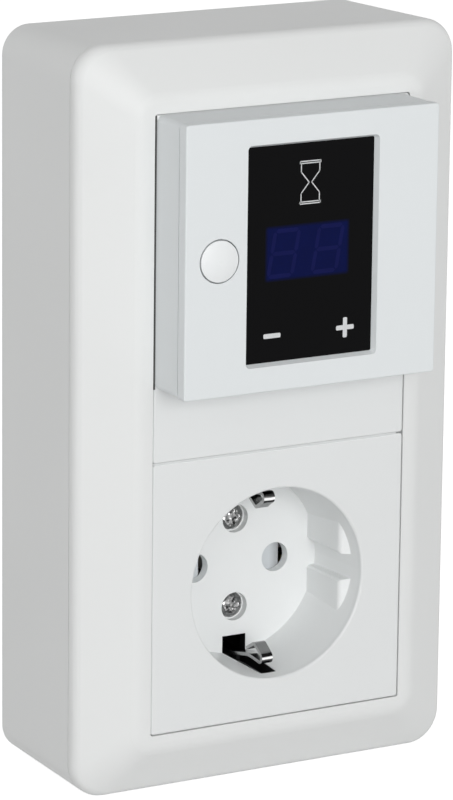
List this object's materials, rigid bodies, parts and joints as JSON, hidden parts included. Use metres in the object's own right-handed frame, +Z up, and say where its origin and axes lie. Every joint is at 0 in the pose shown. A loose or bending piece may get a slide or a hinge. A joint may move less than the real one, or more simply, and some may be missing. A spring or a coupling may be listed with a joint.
{
  "type": "surface mounted timer switch with socket outlet",
  "caption": "White surface housing with an electronic timer switch, its display and push button, above an earthed socket outlet.",
  "frame": {"origin": "centre of the flat back of the housing, on the wall", "axes": "+X to the right seen from the front, +Y into the wall so the front faces -Y, +Z up"},
  "size_m": [0.0868, 0.0526, 0.1534],
  "materials": {
    "housing_white": "smooth glossy white moulded plastic",
    "socket_white": "smooth glossy white moulded plastic",
    "timer_white": "smooth glossy white moulded plastic",
    "socket_base": "matt black moulded plastic",
    "inner_plastic": "matt pale grey moulded plastic",
    "grommet_rubber": "soft matt rubber",
    "zinc_steel": "zinc plated pressed sheet",
    "spring_steel": "drawn wire",
    "contact_brass": "pressed brass strip",
    "contact_nickel": "nickel plated spring strip",
    "screw_nickel": "bright plated screw",
    "window_black": "polished smoked acrylic",
    "display_case": "matt black moulded plastic",
    "board_green": "coated circuit board",
    "relay_case": "glossy moulded case",
    "capacitor_yellow": "glossy moulded case",
    "capacitor_sleeve": "shrunk sleeve on a metal can"
  },
  "bodies": {
    "housing": {"back_box": "housing_white", "housing_cover": "housing_white", "cable_grommet": "grommet_rubber", "socket_face_plate": "socket_white", "socket_body": "socket_base", "socket_support_plate": "zinc_steel", "shutter_spring": "spring_steel", "line_contact": "contact_brass", "neutral_contact": "contact_brass", "socket_terminal_clamps": "contact_brass", "socket_terminal_screws": "screw_nickel", "earth_bridge": "contact_nickel", "socket_face_screws": "screw_nickel", "strap_screws": "screw_nickel", "timer_insert_plate": "socket_white", "timer_support_plate": "zinc_steel", "timer_base_shell": "timer_white", "timer_front_cover": "timer_white", "display_window": "window_black", "display_module": "display_case", "control_board": "board_green", "touch_pads": "spring_steel", "tact_switch": "display_case", "button_spring": "spring_steel", "board_header": "display_case", "timer_rear_case": "inner_plastic", "power_board": "board_green", "relay": "relay_case", "film_capacitor": "capacitor_yellow", "electrolytic_capacitor": "capacitor_sleeve", "timer_terminal_block": "inner_plastic", "timer_terminal_screws": "screw_nickel", "case_screws": "screw_nickel"},
    "button": {"push_button": "timer_white", "switch_plunger": "inner_plastic"},
    "shutter_slider": {"shutter": "inner_plastic"},
    "clip_upper": {"earth_clip_upper": "contact_nickel"},
    "clip_lower": {"earth_clip_lower": "contact_nickel"}
  },
  "joints": [
    {"name": "button_press", "type": "slide", "parent": "housing", "child": "button", "axis": [0, 1, 0], "range_m": [0, 0.0008], "stiffness_N_per_m": 300, "springref_m": -0.002, "deforming": ["button_spring"]},
    {"name": "shutter_slide", "type": "slide", "parent": "housing", "child": "shutter_slider", "axis": [-1, 0, 0], "range_m": [0, 0.006], "stiffness_N_per_m": 60, "springref_m": -0.004, "deforming": ["shutter_spring"]},
    {"name": "clip_upper_flex", "type": "hinge", "parent": "housing", "child": "clip_upper", "pos_m": [0, -0.0096, -0.0168], "axis": [-1, 0, 0], "range_deg": [0, 5.5], "stiffness_Nm_per_rad": 0.05, "springref_deg": -5.73},
    {"name": "clip_lower_flex", "type": "hinge", "parent": "housing", "child": "clip_lower", "pos_m": [0, -0.0096, -0.0536], "axis": [1, 0, 0], "range_deg": [0, 5.5], "stiffness_Nm_per_rad": 0.05, "springref_deg": -5.73}
  ]
}
